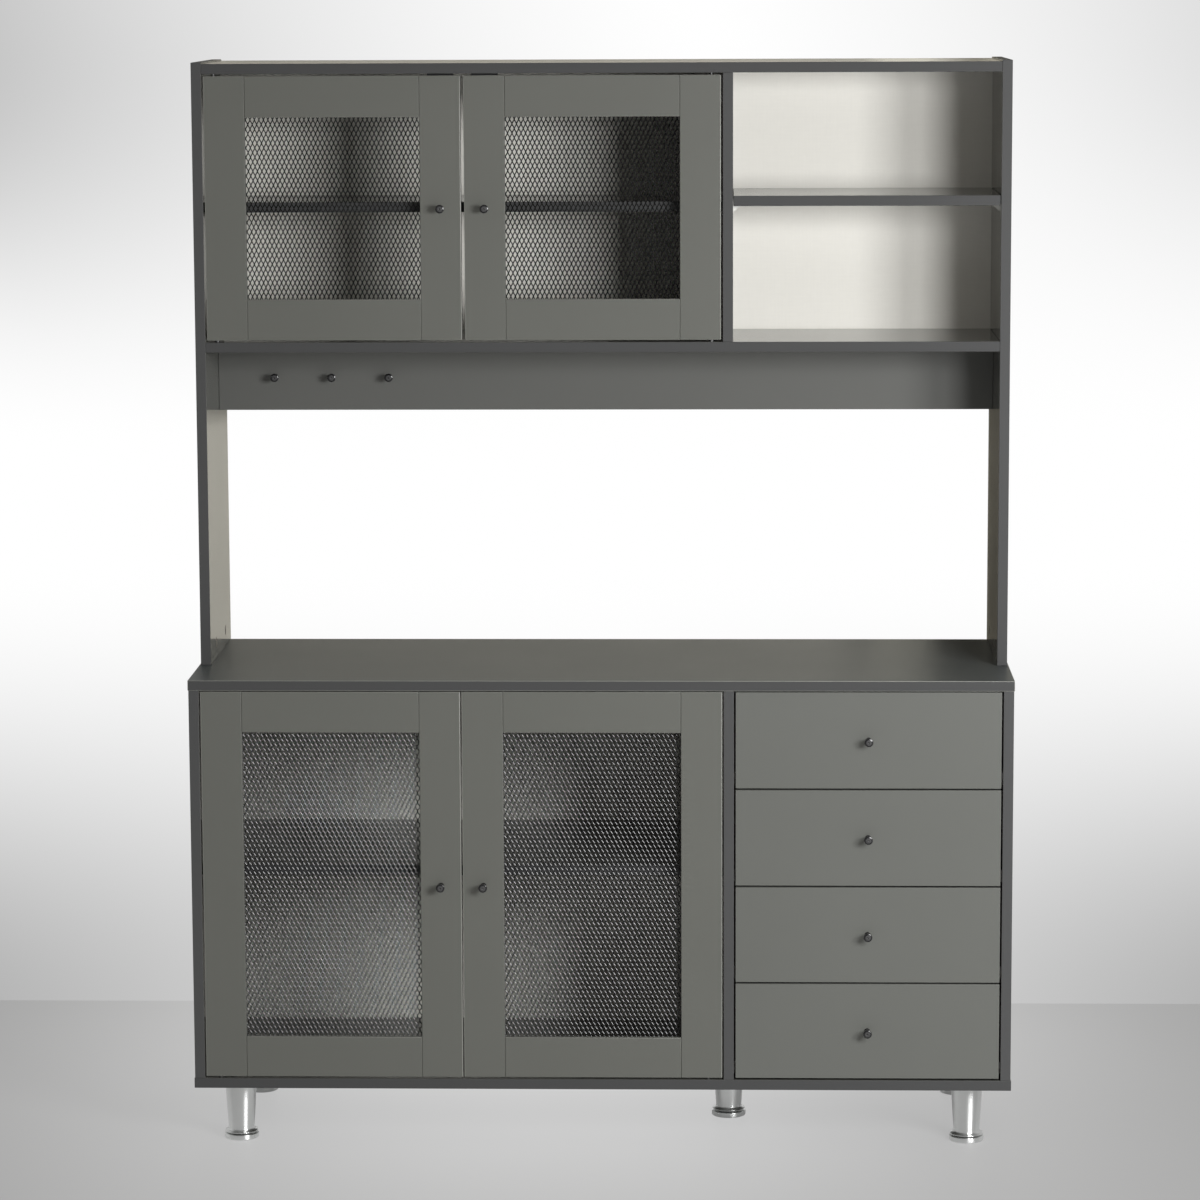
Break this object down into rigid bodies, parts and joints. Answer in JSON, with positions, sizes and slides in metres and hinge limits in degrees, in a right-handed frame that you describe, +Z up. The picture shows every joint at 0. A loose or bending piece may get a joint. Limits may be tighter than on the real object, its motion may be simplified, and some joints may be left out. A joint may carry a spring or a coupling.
{
  "type": "kitchen hutch cabinet",
  "caption": "Kitchen hutch: base cupboard with mesh doors and drawers on chrome legs, and a shallower hutch with mesh doors, open shelves and a hook rail above the counter.",
  "frame": {"origin": "on the floor, at the middle of the width, midway between the knobs' faces and the rear edges", "axes": "+X to the right as seen from the front, +Y to the rear, +Z up"},
  "size_m": [1.2, 0.42, 1.5865],
  "materials": {
    "front_grey": "satin grey foil on board",
    "carcass_grey": "satin grey foil on chipboard",
    "counter_grey": "satin grey laminate on chipboard",
    "back_white": "off-white printed hardboard",
    "drawer_white": "off-white foil on chipboard",
    "mesh_black": "black powder-coated expanded steel",
    "knob_black": "polished black",
    "leg_chrome": "polished chrome plate",
    "screw_zinc": "bright zinc",
    "pin_steel": "blackened steel",
    "runner_white": "white powder-coated steel",
    "support_white": "white plastic",
    "nylon": "natural nylon",
    "bush_grey": "dark grey nylon",
    "catch_black": "black plastic",
    "cam_grey": "grey plastic"
  },
  "bodies": {
    "cabinet": {"counter_top": "counter_grey", "base_left_side": "carcass_grey", "base_right_side": "carcass_grey", "base_partition": "carcass_grey", "base_bottom_panel": "carcass_grey", "base_back_panel": "back_white", "base_shelf": "carcass_grey", "hutch_left_side": "carcass_grey", "hutch_right_side": "carcass_grey", "hutch_top_panel": "carcass_grey", "hutch_floor_board": "carcass_grey", "hutch_partition": "carcass_grey", "hutch_back_panel": "back_white", "hutch_shelf": "carcass_grey", "bay_shelf": "carcass_grey", "hook_rail": "carcass_grey", "rail_hooks": "knob_black", "leg_front_left": "leg_chrome", "leg_front_right": "leg_chrome", "leg_middle": "leg_chrome", "leg_rear_left": "leg_chrome", "leg_rear_right": "leg_chrome", "leg_screws": "screw_zinc", "shelf_supports": "support_white", "drawer_runners": "runner_white", "pivot_bushes": "bush_grey", "door_catches": "catch_black", "cam_fittings": "cam_grey"},
    "upper_left_door": {"upper_left_door_frame": "front_grey", "upper_left_door_mesh": "mesh_black", "upper_left_door_knob": "knob_black", "upper_left_door_pivots": "pin_steel"},
    "upper_right_door": {"upper_right_door_frame": "front_grey", "upper_right_door_mesh": "mesh_black", "upper_right_door_knob": "knob_black", "upper_right_door_pivots": "pin_steel"},
    "lower_left_door": {"lower_left_door_frame": "front_grey", "lower_left_door_mesh": "mesh_black", "lower_left_door_knob": "knob_black", "lower_left_door_pivots": "pin_steel"},
    "lower_right_door": {"lower_right_door_frame": "front_grey", "lower_right_door_mesh": "mesh_black", "lower_right_door_knob": "knob_black", "lower_right_door_pivots": "pin_steel"},
    "drawer_1": {"drawer_1_front": "front_grey", "drawer_1_box": "drawer_white", "drawer_1_knob": "knob_black", "drawer_1_glides": "nylon"},
    "drawer_2": {"drawer_2_front": "front_grey", "drawer_2_box": "drawer_white", "drawer_2_knob": "knob_black", "drawer_2_glides": "nylon"},
    "drawer_3": {"drawer_3_front": "front_grey", "drawer_3_box": "drawer_white", "drawer_3_knob": "knob_black", "drawer_3_glides": "nylon"},
    "drawer_4": {"drawer_4_front": "front_grey", "drawer_4_box": "drawer_white", "drawer_4_knob": "knob_black", "drawer_4_glides": "nylon"}
  },
  "joints": [
    {"name": "upper_left_door_hinge", "type": "hinge", "parent": "cabinet", "child": "upper_left_door", "pos_m": [-0.56571, -0.04, 1.37375], "axis": [0, 0, -1], "range_deg": [0, 90]},
    {"name": "upper_right_door_hinge", "type": "hinge", "parent": "cabinet", "child": "upper_right_door", "pos_m": [0.16071, -0.04, 1.37375], "axis": [0, 0, 1], "range_deg": [0, 90]},
    {"name": "lower_left_door_hinge", "type": "hinge", "parent": "cabinet", "child": "lower_left_door", "pos_m": [-0.56142, -0.182, 0.39475], "axis": [0, 0, -1], "range_deg": [0, 90]},
    {"name": "lower_right_door_hinge", "type": "hinge", "parent": "cabinet", "child": "lower_right_door", "pos_m": [0.15642, -0.182, 0.39475], "axis": [0, 0, 1], "range_deg": [0, 90]},
    {"name": "drawer_1_slide", "type": "slide", "parent": "cabinet", "child": "drawer_1", "axis": [0, -1, 0], "range_m": [0, 0.26]},
    {"name": "drawer_2_slide", "type": "slide", "parent": "cabinet", "child": "drawer_2", "axis": [0, -1, 0], "range_m": [0, 0.26]},
    {"name": "drawer_3_slide", "type": "slide", "parent": "cabinet", "child": "drawer_3", "axis": [0, -1, 0], "range_m": [0, 0.26]},
    {"name": "drawer_4_slide", "type": "slide", "parent": "cabinet", "child": "drawer_4", "axis": [0, -1, 0], "range_m": [0, 0.26]}
  ]
}
